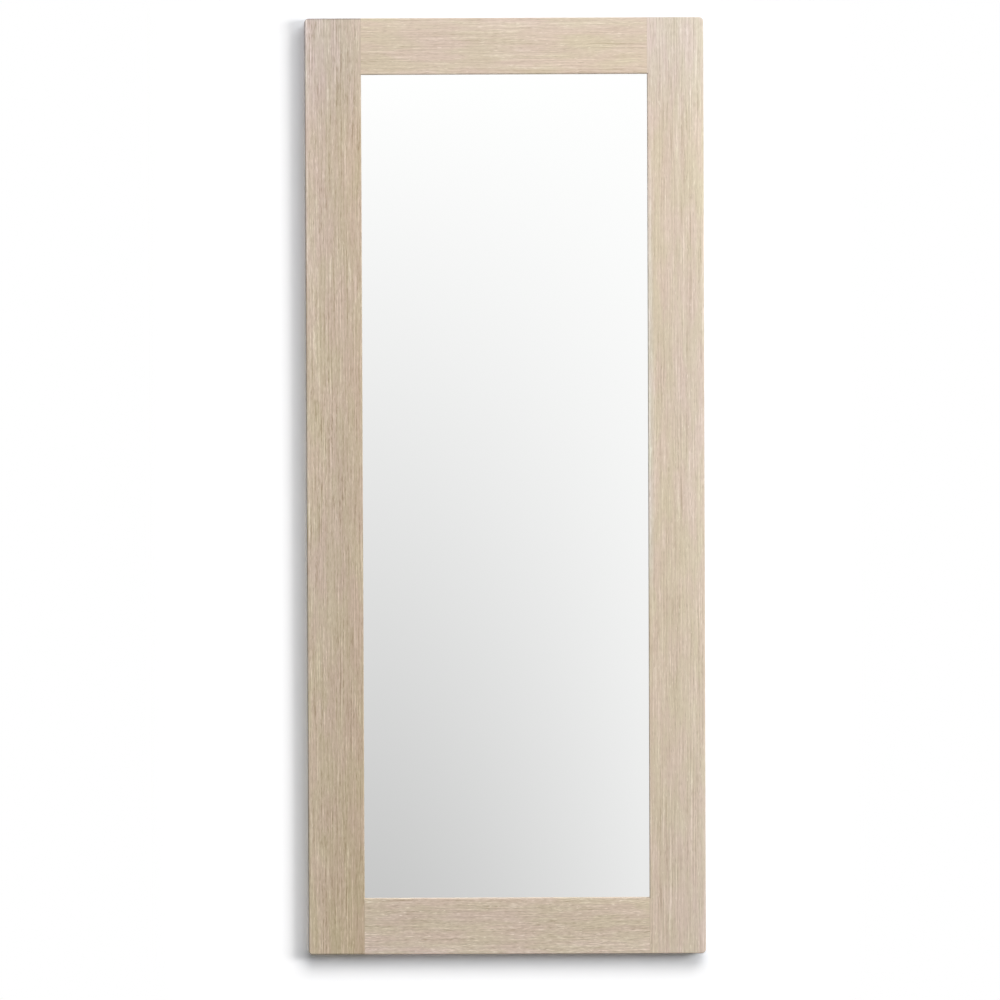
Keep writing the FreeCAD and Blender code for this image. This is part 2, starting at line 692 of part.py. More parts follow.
def make_ring(side):
    # Round wire bent to a D: a straight bar in the strap's eye, two bends, two arms and a crown.
    body = new_body(f"ring_{SIDE_NAMES[side]}", sided(side, f"({SIGHT_X} + {BACK_BAND})"),
                    f"({EYE_LEVEL} - bumper_height)", HANGER_Z)
    path = new_sketch(body, "XZ_Plane")
    draw_ring_path(path)
    wire = new_sketch(body, "YZ_Plane")
    add_circles(wire, [("0", "0")], "ring_wire")
    document.recompute()
    bent = body.newObject("PartDesign::AdditivePipe", f"{body.Name}_pipe")
    bent.Profile = wire
    bent.Spine = path
    document.recompute()


def make_parts():
    for side in SIDE_NAMES:
        make_stile(side)
        make_side_batten(side)
        make_strap(side)
        make_ring(side)
    for end in END_NAMES:
        make_rail(end)
        make_end_batten(end)
        for side in SIDE_NAMES:
            make_dowels(end, side)
            make_bumper(side, end)
    make_glazing_tape()
    make_pane()
    make_setting_blocks()
    make_panel("safety_film", f"({GLASS_OVERLAP} - film_margin)", GLASS_BACK, "film_thickness")
    make_foam_strips()
    make_all_pins()
    make_back_board()
    make_all_screws()


def check_objects():
    document.recompute()
    for item in document.Objects:
        if {"Invalid", "Error"} & set(item.State):
            raise RuntimeError(f"{item.Name} failed: {item.State}")
    parts = [item for item in document.Objects if item.TypeId == "PartDesign::Body"]
    for item in parts:
        if item.Shape.isNull() or not item.Shape.isValid():
            raise RuntimeError(f"{item.Label} has no valid shape")
    return parts


def main():
    make_sheet()
    make_parts()
    parts = check_objects()
    os.makedirs("parts", exist_ok=True)
    for item in parts:
        item.Shape.exportStep(f"parts/{item.Label}.step")
        print(item.Label, len(item.Shape.Solids), round(item.Shape.Volume, 1))


main()
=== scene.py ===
import math

import bmesh
import bpy
import numpy as np
from mathutils import Euler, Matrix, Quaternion, Vector


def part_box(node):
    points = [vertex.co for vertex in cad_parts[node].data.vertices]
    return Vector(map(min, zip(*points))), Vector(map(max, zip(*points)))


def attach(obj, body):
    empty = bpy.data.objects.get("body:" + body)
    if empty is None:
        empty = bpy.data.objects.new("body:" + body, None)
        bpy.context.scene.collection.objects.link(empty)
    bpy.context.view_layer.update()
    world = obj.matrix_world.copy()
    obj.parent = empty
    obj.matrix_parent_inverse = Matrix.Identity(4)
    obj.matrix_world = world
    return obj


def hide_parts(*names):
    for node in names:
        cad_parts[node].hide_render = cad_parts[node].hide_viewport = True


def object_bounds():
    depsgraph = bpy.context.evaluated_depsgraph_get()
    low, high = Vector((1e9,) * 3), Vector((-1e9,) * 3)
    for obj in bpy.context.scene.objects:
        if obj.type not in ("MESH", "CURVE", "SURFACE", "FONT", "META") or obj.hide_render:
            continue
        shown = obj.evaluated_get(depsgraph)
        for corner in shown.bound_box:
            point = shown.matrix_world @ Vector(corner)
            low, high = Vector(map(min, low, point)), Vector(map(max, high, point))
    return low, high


# Looks of a full-length wall mirror: a limed oak frame, a silvered pane, and at the back a hardboard
# panel, strap hangers with D-rings and rubber bumpers. Metres; +X right, +Z up, front towards -Y,
# the wall at Y zero.

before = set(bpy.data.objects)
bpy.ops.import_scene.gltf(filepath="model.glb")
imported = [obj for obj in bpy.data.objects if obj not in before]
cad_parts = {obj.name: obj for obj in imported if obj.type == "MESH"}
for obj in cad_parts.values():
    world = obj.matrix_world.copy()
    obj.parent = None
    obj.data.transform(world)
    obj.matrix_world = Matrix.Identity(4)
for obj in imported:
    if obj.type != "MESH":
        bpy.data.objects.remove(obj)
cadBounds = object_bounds()
print("frame loaded:", len(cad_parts), "nodes")

mm = 0.001
white = (1.0, 1.0, 1.0, 1.0)


# Helpers for node materials

def screenColour(red, green, blue):
    # A display colour of 0 to 255 a channel as the linear colour that shaders use.
    share = np.array([red, green, blue]) / 255
    linear = np.where(share <= 0.04045, share / 12.92, ((share + 0.055) / 1.055) ** 2.4)
    return (*linear.tolist(), 1.0)


def newMaterial(name):
    material = bpy.data.materials.new(name)
    material.use_nodes = True
    material.node_tree.nodes.clear()
    return material, material.node_tree


def addNode(tree, kind, feeds=None, **settings):
    # Each input in feeds gets a number, a colour or another node's socket.
    made = tree.nodes.new("ShaderNode" + kind)
    for name, value in settings.items():
        setattr(made, name, value)
    for name, value in (feeds or {}).items():
        if isinstance(value, bpy.types.NodeSocket):
            tree.links.new(value, made.inputs[name])
        else:
            made.inputs[name].default_value = value
    return made


def calculate(tree, operation, *terms, clamp=False):
    made = addNode(tree, "Math", dict(enumerate(terms)), operation=operation, use_clamp=clamp)
    return made.outputs[0]


def times(tree, first, second):
    return calculate(tree, "MULTIPLY", first, second)


def minus(tree, first, second):
    return calculate(tree, "SUBTRACT", first, second)


def multiplyAdd(tree, first, second, third):
    return calculate(tree, "MULTIPLY_ADD", first, second, third)


def mixColours(tree, share, first, second, mode="MIX"):
    feeds = {0: share, 6: first, 7: second}
    return addNode(tree, "Mix", feeds, data_type="RGBA", blend_type=mode).outputs[2]


def tinted(tree, colour, tint, share=1.0):
    return mixColours(tree, share, colour, tint, "MULTIPLY")


def combined(tree, *channels):
    return addNode(tree, "CombineColor", dict(enumerate(channels))).outputs[0]


def rise(tree, value, low, high):
    # 0 below low, 1 above high, and a smooth step between them; turned round if low is the higher.
    feeds = {"Value": value, "From Min": low, "From Max": high}
    return addNode(tree, "MapRange", feeds, interpolation_type="SMOOTHSTEP").outputs[0]


def ranged(tree, value, ends):
    # A value of 0 to 1, moved to between the two ends.
    return addNode(tree, "MapRange", {"Value": value, "To Min": ends[0], "To Max": ends[1]}).outputs[0]


def noise(tree, place, fineness, detail=2.0, roughness=0.5, shift=(0, 0, 0)):
    # Fineness is the number of noise cells in a metre along each axis, so unequal ones draw it out.
    spread = addNode(tree, "Mapping", {"Vector": place, "Location": shift, "Scale": fineness})
    feeds = {"Vector": spread.outputs[0], "Scale": 1.0, "Detail": detail, "Roughness": roughness}
    return addNode(tree, "TexNoise", feeds).outputs[0]


def ownPlace(tree):
    return addNode(tree, "TexCoord").outputs["Object"]


def splitPlace(tree, place):
    return addNode(tree, "SeparateXYZ", {0: place}).outputs


def bumped(tree, height, depth):
    return addNode(tree, "Bump", {"Height": height, "Distance": depth, "Strength": 1.0}).outputs[0]


def finishMaterial(tree, **inputs):
    # The shader and the output; an input's name is written with _ for a space.
    feeds = {name.replace("_", " "): value for name, value in inputs.items()}
    shader = addNode(tree, "BsdfPrincipled", feeds)
    addNode(tree, "OutputMaterial", {"Surface": shader.outputs[0]})


# Woods

ringNoise = {"fineness": (7, 7, 1.6), "detail": 3.0}


def grainSpace(tree, along):
    # The object's coordinates in the order across the grain, deep and along it.
    sides = splitPlace(tree, ownPlace(tree))
    across = 2 - along
    feeds = {0: sides[across], 1: sides[1], 2: sides[along]}
    return addNode(tree, "CombineXYZ", feeds).outputs[0]


def growthRings(tree, space, pith, spacing, wander):
    # Distance from a slanted pith line, made uneven by slow noise, in rings: 0 to 1 within each.
    sides = splitPlace(tree, space)
    uneven = minus(tree, noise(tree, space, **ringNoise), 0.5)
    across = calculate(tree, "ADD", sides[0], pith["across"])
    across = multiplyAdd(tree, uneven, wander, across)
    deep = multiplyAdd(tree, sides[2], pith["slant"], pith["deep"])
    deep = calculate(tree, "ADD", sides[1], deep)
    line = addNode(tree, "CombineXYZ", {0: across, 1: deep})
    radius = addNode(tree, "VectorMath", {0: line.outputs[0]}, operation="LENGTH").outputs["Value"]
    return calculate(tree, "FRACT", calculate(tree, "DIVIDE", radius, spacing))


oak = {
    "light": screenColour(225, 211, 193),
    "mid": screenColour(204, 188, 168),
    "dark": screenColour(180, 162, 140),
    "lime": screenColour(240, 230, 214),
    "pore": screenColour(150, 130, 106),
    "waves": {"fineness": (24, 24, 12), "detail": 1.0},
    "earlyRange": (0.45, 0.0),
    "lateRange": (0.72, 0.98),
    "ringShare": 0.28,
    "ringWander": 20 * mm,
    "streaks": ({"fineness": (330, 330, 2.4), "detail": 3.0},
                {"fineness": (400, 400, 13), "detail": 3.0},
                {"fineness": (460, 460, 75), "detail": 2.0}),
    "darkRange": (0.34, 0.5),
    "lightRange": (0.5, 0.66),
    "busy": {"fineness": (34, 34, 7), "shift": (5, 9, 6)},
    "busyRange": (0.35, 0.65),
    "busySpan": 0.36,
    "pores": {"fineness": (520, 520, 50)},
    "poreRange": (0.56, 0.7),
    "poreCrowd": (0.6, 0.4),
    "poreShare": 0.5,
    "flecks": {"fineness": (560, 560, 65), "detail": 1.0, "shift": (3, 5, 7)},
    "fleckRange": (0.69, 0.76),
    "fleckShare": 0.75,
    "openPores": {"fineness": (1700, 1700, 55), "detail": 1.0, "shift": (9, 2, 4)},
    "openPoreRange": (0.6, 0.7),
    "openPoreShare": 0.5,
    "patches": {"fineness": (42, 42, 9), "detail": 3.0},
    "pink": (1.024, 0.99, 1.0, 1.0),
    "yellow": (0.99, 1.006, 0.94, 1.0),
    "casts": {"fineness": (5, 5, 1.1), "detail": 3.0},
    "lilac": (1.0, 0.992, 1.028, 1.0),
    "olive": (1.0, 1.003, 0.972, 1.0),
    "castRange": (0.35, 0.65),
    "drift": {"fineness": (26, 26, 2.4), "shift": (2, 6, 3)},
    "driftSpan": 0.12,
    "relief": (0.8, -0.6),
    "bumpDepth": 0.14 * mm,
    "roughness": (0.72, 0.5),
    # Painted shade on the arrises: its tint, the widths of its outer and sight bands, and how much of it
    # the sight band gets.
    "arrisShadeTint": (0.69, 0.71, 0.74, 1.0),
    "outerShadeBand": (4.4 * mm, 1.8 * mm),
    "sightShadeBand": (2.6 * mm, 1.2 * mm),
    "sightArrisShade": 0.34,
    "jointWidth": 0.45 * mm,
    "headReach": (700 * mm, 950 * mm),
    "footReach": (-100 * mm, -800 * mm),
    "sapTint": (1.06, 1.17, 1.27, 1.0),
    "sapWidth": (17 * mm, 1.5 * mm),
    "sapTop": (850 * mm, 380 * mm),
    "sapEnd": (-270 * mm, -110 * mm),
    "outerX": 425 * mm,
    "outerZ": 1000 * mm,
    "sightX": 305 * mm,
    "sightZ": 880 * mm,
}


def wavyGrain(tree, space, wave):
    # Slow noise pushes the grain a little sideways, so that its lines wave.
    push = minus(tree, noise(tree, space, **oak["waves"]), 0.5)
    offset = addNode(tree, "CombineXYZ", {0: times(tree, push, wave)})
    return addNode(tree, "VectorMath", {0: space, 1: offset.outputs[0]}, operation="ADD").outputs[0]


def makeOak(name, along, shift, pith, spacing, tone, crown, lean, contrast, lime, wave, shares,
            head=white, foot=white, outerArrisShade=0.0, sap=0.0):
    # Tone tints the whole board, head its upper and foot its lower end; crown is how much paler its
    # edges are, and lean how much paler, channel by channel, its outer side is; contrast spreads its
    # dark and light streaks about the middle; lime is how much of it stayed on, and outerArrisShade how
    # much painted shade darkens the outer arris; sap is how pale a strip beside the opening is; wave is
    # how far the grain wavers; shares weigh its long, middling and short streaks.
    dark, light = (tuple(np.add(oak["mid"], contrast * np.subtract(oak[end], oak["mid"])).tolist())
                   for end in ("dark", "light"))
    material, tree = newMaterial(name)
    moved = addNode(tree, "Mapping", {"Vector": grainSpace(tree, along), "Location": shift})
    space = wavyGrain(tree, moved.outputs[0], wave)
    ring = growthRings(tree, space, pith, spacing, oak["ringWander"])
    early = rise(tree, ring, *oak["earlyRange"])
    late = rise(tree, ring, *oak["lateRange"])

    streak = 0.0
    for lines, share in zip(oak["streaks"], shares):
        streak = multiplyAdd(tree, noise(tree, space, **lines), share, streak)

    # Busy and calm areas: slow noise spreads the streaks about their middle or draws them in.
    busy = rise(tree, noise(tree, space, **oak["busy"]), *oak["busyRange"])
    busy = multiplyAdd(tree, busy, oak["busySpan"], 1 - oak["busySpan"] / 2)
    streak = multiplyAdd(tree, minus(tree, streak, 0.5), busy, 0.5)
    colour = mixColours(tree, rise(tree, streak, *oak["darkRange"]), dark, oak["mid"])
    colour = mixColours(tree, rise(tree, streak, *oak["lightRange"]), colour, light)
    colour = mixColours(tree, times(tree, late, oak["ringShare"]), colour, dark)

    # Lime lies in the pores, which crowd in the early wood of each ring, and in short flecks; other
    # pores are open slits.
    crowd = times(tree, multiplyAdd(tree, early, *oak["poreCrowd"]), busy)
    pores = rise(tree, noise(tree, space, **oak["pores"]), *oak["poreRange"])
    pores = times(tree, pores, crowd)
    flecks = rise(tree, noise(tree, space, **oak["flecks"]), *oak["fleckRange"])
    flecks = times(tree, flecks, busy)
    slits = rise(tree, noise(tree, space, **oak["openPores"]), *oak["openPoreRange"])
    for spots, share, filling in ((pores, oak["poreShare"] * lime, "lime"),
                                  (flecks, oak["fleckShare"] * lime, "lime"),
                                  (slits, oak["openPoreShare"], "pore")):
        colour = mixColours(tree, times(tree, spots, share), colour, oak[filling])

    # Patches of a pinker and a yellower cast, and a slower drift from lilac to olive.
    for cells, first, second in (("patches", "pink", "yellow"), ("casts", "lilac", "olive")):
        patch = rise(tree, noise(tree, space, **oak[cells]), *oak["castRange"])
        colour = tinted(tree, colour, mixColours(tree, patch, oak[first], oak[second]))
    colour = tinted(tree, colour, tone)
    level = splitPlace(tree, ownPlace(tree))[2]
    for reach, tint in (("headReach", head), ("footReach", foot)):
        colour = tinted(tree, colour, tint, rise(tree, level, *oak[reach]))
    colour = addCrown(tree, colour, space, along, crown, lean)
    colour = addSapwood(tree, colour, sap)
    # Painted shade darkens the sight arris and, on the boards that ask for it, the outer one.
    colour = addJointLine(tree, addPaintedArrisShade(tree, colour, outerArrisShade))

    proud, sunk = oak["relief"]
    height = multiplyAdd(tree, streak, proud, times(tree, pores, sunk))
    finishMaterial(tree, Base_Color=colour, Roughness=ranged(tree, streak, oak["roughness"]),
                   Normal=bumped(tree, height, oak["bumpDepth"]))
    return material


def addCrown(tree, colour, space, along, crown, lean):
    # The finish is a little paler towards a board's edges, most on its outer side, and drifts slowly:
    # the colour times 1 + crown (t^2 - 1/3) + drift (noise - 1/2) + lean t, with t from -1 at the
    # board's inner edge to 1 at its outer one.
    inner, outer = (oak["sightX"], oak["outerX"]) if along == 2 else (oak["sightZ"], oak["outerZ"])
    across = calculate(tree, "ABSOLUTE", splitPlace(tree, grainSpace(tree, along))[0])
    fromMiddle = multiplyAdd(tree, across, 2 / (outer - inner), -(outer + inner) / (outer - inner))
    squared = times(tree, fromMiddle, fromMiddle)
    level = multiplyAdd(tree, squared, crown, 1 - crown / 3 - oak["driftSpan"] / 2)
    level = multiplyAdd(tree, noise(tree, space, **oak["drift"]), oak["driftSpan"], level)
    levels = [multiplyAdd(tree, fromMiddle, share, level) for share in lean]
    return tinted(tree, colour, combined(tree, *levels))


def addSapwood(tree, colour, sap):
    # A paler, cooler strip of sapwood beside the opening, which fades towards the top and ends a
    # little below the middle.
    sides = splitPlace(tree, ownPlace(tree))
    fromOpening = minus(tree, calculate(tree, "ABSOLUTE", sides[0]), oak["sightX"])
    near = times(tree, rise(tree, fromOpening, *oak["sapWidth"]), sap)
    for reach in ("sapTop", "sapEnd"):
        near = times(tree, near, rise(tree, sides[2], *oak[reach]))
    return tinted(tree, colour, oak["sapTint"], near)


def addPaintedArrisShade(tree, colour, outerArrisShade):
    # Painted shade makes the sight arris and, on some boards, the outer one a little darker and
    # greyer. How far a point lies inside the outline is the lesser of its distances to the sides
    # and to the ends; how far from the opening, the greater.
    sides = splitPlace(tree, ownPlace(tree))
    right, up = (calculate(tree, "ABSOLUTE", sides[side]) for side in (0, 2))
    inside = calculate(tree, "MINIMUM", minus(tree, oak["outerX"], right), minus(tree, oak["outerZ"], up))
    beyond = calculate(tree, "MAXIMUM", minus(tree, right, oak["sightX"]), minus(tree, up, oak["sightZ"]))
    sight = times(tree, rise(tree, beyond, *oak["sightShadeBand"]), oak["sightArrisShade"])
    outer = times(tree, rise(tree, inside, *oak["outerShadeBand"]), outerArrisShade)
    return tinted(tree, colour, oak["arrisShadeTint"], calculate(tree, "MAXIMUM", outer, sight))


def addJointLine(tree, colour):
    # A hairline of shade where the rails butt against the stiles, above and below the opening.
    sides = splitPlace(tree, ownPlace(tree))
    right, up = (calculate(tree, "ABSOLUTE", sides[side]) for side in (0, 2))
    fromJoint = calculate(tree, "ABSOLUTE", minus(tree, right, oak["sightX"]))
    near = rise(tree, fromJoint, oak["jointWidth"], 0.0)
    beyond = calculate(tree, "GREATER_THAN", up, oak["sightZ"])
    return mixColours(tree, times(tree, near, beyond), colour, oak["dark"])


plainWoods = {
    "pine": {
        "pale": screenColour(226, 199, 158),
        "deep": screenColour(196, 152, 104),
        "spacing": 3.2 * mm,
        "streaks": {"fineness": (260, 260, 10), "detail": 3.0},
        "roughness": 0.62,
    },
    "beech": {
        "pale": screenColour(216, 184, 148),
        "deep": screenColour(186, 146, 110),
        "spacing": 2.0 * mm,
        "streaks": {"fineness": (700, 700, 90), "detail": 3.0},
        "roughness": 0.55,
    },
}
bareGrain = {
    "pith": {"across": 0.05, "deep": 0.02, "slant": 0.004},
    "wander": 6 * mm,
    "lateRange": (0.55, 0.95),
    "streakRange": (0.5, 0.75),
    "bump": 0.1 * mm,
}


def makePlainWood(kind, along, shift):
    # Bare softwood or beech: pale early wood, darker late wood, fine streaks along the grain.
    wood = plainWoods[kind]
    material, tree = newMaterial(f"{kind}_{along}")
    moved = addNode(tree, "Mapping", {"Vector": grainSpace(tree, along), "Location": shift})
    space = moved.outputs[0]
    ring = growthRings(tree, space, bareGrain["pith"], wood["spacing"], bareGrain["wander"])
    streak = noise(tree, space, **wood["streaks"])
    share = calculate(tree, "ADD", rise(tree, ring, *bareGrain["lateRange"]),
                      rise(tree, streak, *bareGrain["streakRange"]))
    colour = mixColours(tree, times(tree, share, 0.5), wood["pale"], wood["deep"])
    finishMaterial(tree, Base_Color=colour, Roughness=wood["roughness"],
                   Normal=bumped(tree, streak, bareGrain["bump"]))
    return material


# Pane, metals, rubber, board and soft layers

mirrorGlass = {
    "silver": (0.95, 0.955, 0.95, 1.0),
    "edge": screenColour(96, 128, 116),
    "paint": screenColour(120, 126, 128),
    "facing": 0.9,
    "specks": {"fineness": (900, 900, 900)},
    "speckShare": 0.3,
    "roughness": (0.45, 0.0),
}


def makeMirrorGlass():
    # Silvering seen through the front, a green ground edge, and grey protective paint behind.
    glass = mirrorGlass
    material, tree = newMaterial("mirrorGlass")
    facing = splitPlace(tree, addNode(tree, "TexCoord").outputs["Normal"])[1]
    front = calculate(tree, "LESS_THAN", facing, -glass["facing"])
    back = calculate(tree, "GREATER_THAN", facing, glass["facing"])
    specks = noise(tree, ownPlace(tree), **glass["specks"])
    specks = times(tree, specks, glass["speckShare"])
    colour = mixColours(tree, back, glass["edge"], mixColours(tree, specks, glass["paint"], glass["edge"]))
    colour = mixColours(tree, front, colour, glass["silver"])
    finishMaterial(tree, Base_Color=colour, Metallic=front,
                   Roughness=ranged(tree, front, glass["roughness"]))
    return material


metals = {
    "zincPlate": {"base": (0.44, 0.45, 0.47, 1.0), "bright": (0.56, 0.56, 0.56, 1.0),
                  "roughness": (0.28, 0.46), "cells": (90, 1200, 90)},
    "zincScrew": {"base": (0.42, 0.43, 0.45, 1.0), "bright": (0.56, 0.55, 0.53, 1.0),
                  "roughness": (0.22, 0.36), "cells": (500, 500, 500)},
    "zincWire": {"base": (0.46, 0.47, 0.49, 1.0), "bright": (0.6, 0.6, 0.6, 1.0),
                 "roughness": (0.2, 0.34), "cells": (300, 300, 300)},
    "brightSteel": {"base": (0.4, 0.4, 0.41, 1.0), "bright": (0.56, 0.56, 0.55, 1.0),
                    "roughness": (0.25, 0.4), "cells": (400, 400, 400)},
}
tumbling = {
    "clouds": {"detail": 4.0, "roughness": 0.65},
    "bump": 0.02 * mm,
}


def makeMetal(kind):
    # Plated steel: cloudy gloss and faint marks left by tumbling.
    metal = metals[kind]
    material, tree = newMaterial(kind)
    cloud = noise(tree, ownPlace(tree), metal["cells"], **tumbling["clouds"])
    tint = mixColours(tree, cloud, metal["base"], metal["bright"])
    finishMaterial(tree, Base_Color=tint, Metallic=1.0, Roughness=ranged(tree, cloud, metal["roughness"]),
                   Normal=bumped(tree, cloud, tumbling["bump"]))
    return material


softFinishes = {
    "bumperRubber": {"pale": screenColour(70, 69, 67), "deep": screenColour(46, 45, 44),
                     "cells": 900, "roughness": 0.78, "bump": 0.06 * mm},
    "blockRubber": {"pale": screenColour(78, 78, 80), "deep": screenColour(52, 52, 54),
                    "cells": 700, "roughness": 0.7, "bump": 0.06 * mm},
    "closedCellFoam": {"pale": screenColour(232, 231, 226), "deep": screenColour(198, 197, 190),
                       "cells": 1400, "roughness": 0.9, "bump": 0.2 * mm},
    "glazingTape": {"pale": screenColour(56, 56, 57), "deep": screenColour(34, 34, 35),
                    "cells": 1600, "roughness": 0.85, "bump": 0.1 * mm},
}
dust = {"fineness": (60, 60, 60), "detail": 4.0}
dustRange = (0.35, 0.7)


def makeSoftFinish(kind):
    # Small cells: darker towards their walls, each a shallow dimple, with a little dust on them.
    soft = softFinishes[kind]
    material, tree = newMaterial(kind)
    cell = addNode(tree, "TexVoronoi", {"Vector": ownPlace(tree), "Scale": soft["cells"]}).outputs[0]
    dusty = rise(tree, noise(tree, ownPlace(tree), **dust), *dustRange)
    share = times(tree, calculate(tree, "ADD", cell, dusty), 0.5)
    colour = mixColours(tree, share, soft["deep"], soft["pale"])
    finishMaterial(tree, Base_Color=colour, Roughness=soft["roughness"],
                   Normal=bumped(tree, cell, soft["bump"]))
    return material


hardboard = {
    "pale": screenColour(164, 128, 94),
    "deep": screenColour(122, 88, 60),
    "clouds": {"fineness": (14, 14, 14), "detail": 6.0, "roughness": 0.62},
    "cloudShare": 0.3,
    "grit": {"fineness": (1500, 1500, 1500), "detail": 4.0, "roughness": 0.6},
    "gritShare": 0.7,
    "toneRange": (0.28, 0.72),
    "fibre": screenColour(190, 158, 122),
    "fibreCells": ((1300, 1300, 150), (150, 1300, 1300), (1300, 700, 240), (240, 700, 1300)),
    "fibreRange": (0.6, 0.72),
    "fibreShare": 0.4,
    "roughness": (0.42, 0.62),
    "bump": 0.06 * mm,
}


def makeHardboard():
    # Pressed wood fibre: a brown ground with darker clouds and short pale fibres lying every way.
    board = hardboard
    material, tree = newMaterial("hardboard")
    place = ownPlace(tree)
    cloud = noise(tree, place, **board["clouds"])
    grit = noise(tree, place, **board["grit"])
    tone = times(tree, cloud, board["cloudShare"])
    tone = multiplyAdd(tree, grit, board["gritShare"], tone)
    colour = mixColours(tree, rise(tree, tone, *board["toneRange"]), board["deep"], board["pale"])
    for cells in board["fibreCells"]:
        fibres = rise(tree, noise(tree, place, cells), *board["fibreRange"])
        fibres = times(tree, fibres, board["fibreShare"])
        colour = mixColours(tree, fibres, colour, board["fibre"])
    finishMaterial(tree, Base_Color=colour, Roughness=ranged(tree, cloud, board["roughness"]),
                   Normal=bumped(tree, grit, board["bump"]))
    return material


safetyFilm = {
    "thread": screenColour(206, 210, 212),
    "gap": screenColour(150, 156, 160),
    "threadPitch": 1.6 * mm,
    "ribRange": (0.4, 0.9),
    "roughness": 0.6,
    "bump": 0.05 * mm,
}


def makeSafetyFilm():
    # A woven backing: threads up and across, each a rounded rib over the gaps between them.
    film = safetyFilm
    material, tree = newMaterial("safetyFilm")
    sides = splitPlace(tree, ownPlace(tree))
    ribs = []
    for side in (0, 2):
        turns = times(tree, sides[side], 2 * math.pi / film["threadPitch"])
        ribs.append(multiplyAdd(tree, calculate(tree, "SINE", turns), 0.5, 0.5))
    weave = calculate(tree, "MAXIMUM", *ribs)
    colour = mixColours(tree, rise(tree, weave, *film["ribRange"]), film["gap"], film["thread"])
    finishMaterial(tree, Base_Color=colour, Roughness=film["roughness"],
                   Normal=bumped(tree, weave, film["bump"]))
    return material


def dress(node, material):
    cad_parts[node].data.materials.clear()
    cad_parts[node].data.materials.append(material)


# Oak members, each cut from another part of a board, and pine battens

members = {
    # The left stile's darker tone is partly painted shade, for the side of the frame farther from the
    # lamps.
    "left_stile": {"along": 2, "shift": (0.31, 0.07, 1.9), "spacing": 5.2 * mm,
                   "pith": {"across": 0.16, "deep": 0.05, "slant": 0.012},
                   "tone": (0.923, 0.905, 0.889, 1.0), "head": (1.02, 1.045, 1.155, 1.0),
                   "foot": (0.99, 0.984, 0.92, 1.0), "crown": 0.06, "lean": (0.052, 0.068, 0.105),
                   # Painted shade darkens this board's outer arris, the side away from the lamps.
                   "contrast": 1.44, "lime": 0.85, "outerArrisShade": 1.0, "wave": 3 * mm,
                   "shares": (0.36, 0.36, 0.28)},
    "right_stile": {"along": 2, "shift": (0.83, 0.21, 7.3), "spacing": 5.8 * mm,
                    "pith": {"across": 0.2, "deep": 0.06, "slant": -0.01},
                    "tone": (1.034, 1.042, 1.069, 1.0), "head": (1.005, 1.03, 1.11, 1.0),
                    "foot": (1.024, 1.018, 1.055, 1.0), "crown": 0.06, "lean": (0.034, 0.048, 0.058),
                    "contrast": 1.0, "lime": 0.55, "sap": 1.0, "wave": 3 * mm,
                    "shares": (0.4, 0.41, 0.19)},
    "top_rail": {"along": 0, "shift": (0.47, 0.33, 3.1), "spacing": 6.5 * mm,
                 "pith": {"across": 0.12, "deep": 0.09, "slant": 0.03},
                 "tone": (1.01, 1.01, 1.03, 1.0), "crown": 0.01, "lean": (0.017, 0.026, 0.033),
                 "contrast": 0.8, "lime": 0.76, "wave": 5 * mm, "shares": (0.32, 0.42, 0.26)},
    "bottom_rail": {"along": 0, "shift": (0.59, 0.11, 5.7), "spacing": 6.0 * mm,
                    "pith": {"across": 0.1, "deep": 0.08, "slant": -0.035},
                    "tone": (1.05, 1.045, 1.07, 1.0), "foot": (1.0, 1.0, 1.02, 1.0), "crown": 0.025,
                    "lean": (0.004, 0.002, 0.04), "contrast": 1.22, "lime": 1.0, "wave": 5 * mm,
                    "shares": (0.26, 0.34, 0.4)},
}
battens = {
    "left_batten": {"along": 2, "shift": (0.3, 0.1, 2.0)},
    "right_batten": {"along": 2, "shift": (0.3, 0.1, 2.0)},
    "top_batten": {"along": 0, "shift": (0.3, 0.1, 0.0)},
    "bottom_batten": {"along": 0, "shift": (0.3, 0.1, 0.0)},
}
dowelGrain = {"along": 0, "shift": (0.2, 0.1, 0.4)}


def dressWood():
    for node, member in members.items():
        dress(node, makeOak(node + "_oak", **member))
    for node, batten in battens.items():
        dress(node, makePlainWood("pine", **batten))


# Shapes

creaseAngle = math.radians(32)


def addPiece(mesh, material, smooth=True):
    mesh.polygons.foreach_set("use_smooth", [smooth] * len(mesh.polygons))
    if smooth:
        mesh.set_sharp_from_angle(angle=creaseAngle)
    mesh.materials.clear()
    mesh.materials.append(material)
    piece = bpy.data.objects.new(mesh.name, mesh)
    bpy.context.scene.collection.objects.link(piece)
    return piece


def meshPiece(name, points, faces, material, smooth=True):
    mesh = bpy.data.meshes.new(name)
    mesh.from_pydata(points.tolist(), [], faces)
    mesh.update()
    return addPiece(mesh, material, smooth)


def quadGrid(rows, columns, closedAlong=False):
    # Four corners of each face of a grid of points whose columns run round and meet again.
    i, j = np.meshgrid(np.arange(rows if closedAlong else rows - 1), np.arange(columns), indexing="ij")
    iNext = (i + 1) % rows
    jNext = (j + 1) % columns
    corners = [i * columns + j, iNext * columns + j, iNext * columns + jNext, i * columns + jNext]
    return np.stack(corners, -1).reshape(-1, 4).tolist()


def faceOutward(points, faces):
    # The volume as a sum of pyramids from the origin: where it is negative, every face is turned.
    corners = points[np.array([face + face[-1:] * (4 - len(face)) for face in faces])]
    first, second, third, fourth = corners.transpose(1, 0, 2)
    volume = np.sum(first * (np.cross(second, third) + np.cross(third, fourth)))
    return points, (faces if volume > 0 else [face[::-1] for face in faces])


